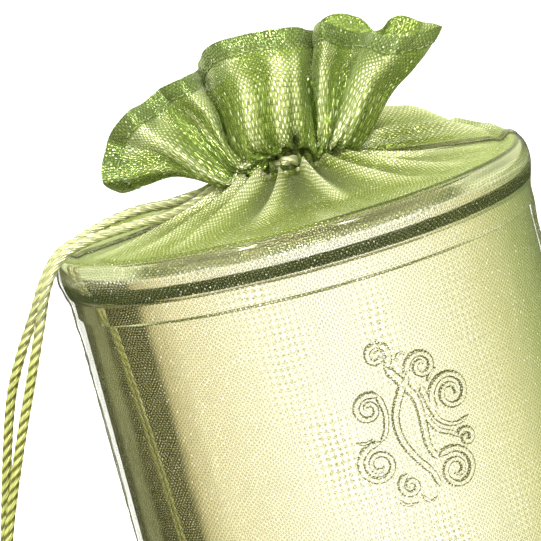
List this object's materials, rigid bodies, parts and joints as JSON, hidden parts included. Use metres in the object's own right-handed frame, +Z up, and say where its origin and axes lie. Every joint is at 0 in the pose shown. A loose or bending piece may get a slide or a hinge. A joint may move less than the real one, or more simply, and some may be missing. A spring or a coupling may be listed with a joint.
{
  "type": "drawstring gift sack",
  "caption": "Sheer metallic drawstring gift sack pulled tight over a round slip-lid tin, with a gathered frill above the cord channel and cord tails that end in a knot.",
  "frame": {"origin": "middle of the flat base, on the surface that the sack stands on", "axes": "+Z up along the tin's axis, -Y towards the side with the ornament, -X towards the side where the cord tails come out"},
  "size_m": [0.0873, 0.0632, 0.0817],
  "materials": {
    "tinplate": "bright smooth tinplate",
    "organza": "sheer metallic organza, open plain weave",
    "doubled_organza": "folded organza, denser and duller",
    "thread": "sewing thread",
    "metallic_cord": "tightly twisted metallic cord"
  },
  "bodies": {
    "sack": {"can_wall": "tinplate", "can_base": "tinplate", "scroll_ornament": "tinplate", "base_cloth": "organza", "left_corner_fold": "organza", "right_corner_fold": "organza", "front_panel": "organza", "back_panel": "organza", "left_side_seam": "doubled_organza", "right_side_seam": "doubled_organza", "front_shoulder": "organza", "back_shoulder": "organza", "drawcord_channel": "doubled_organza", "lower_channel_stitch": "thread", "upper_channel_stitch": "thread", "neck_gathers": "organza", "drawcord_loop": "metallic_cord"},
    "lid": {"slip_lid": "tinplate"},
    "frill": {"front_frill": "organza", "back_frill": "organza", "frill_hem": "doubled_organza"},
    "drawcord": {"front_tail": "metallic_cord", "back_tail": "metallic_cord", "stop_knot": "metallic_cord", "cord_ends": "metallic_cord"}
  },
  "joints": [
    {"name": "drawcord_pull", "type": "slide", "parent": "sack", "child": "drawcord", "axis": [-1, 0, 0], "range_m": [0, 0.005]},
    {"name": "frill_lean", "type": "hinge", "parent": "sack", "child": "frill", "pos_m": [0, 0, 0.0689], "axis": [0, 1, 0], "range_deg": [-5, 14], "stiffness_Nm_per_rad": 0.004},
    {"name": "lid_turn", "type": "hinge", "parent": "sack", "child": "lid", "pos_m": [0, 0, 0.0593], "axis": [0, 0, 1], "continuous": true}
  ]
}
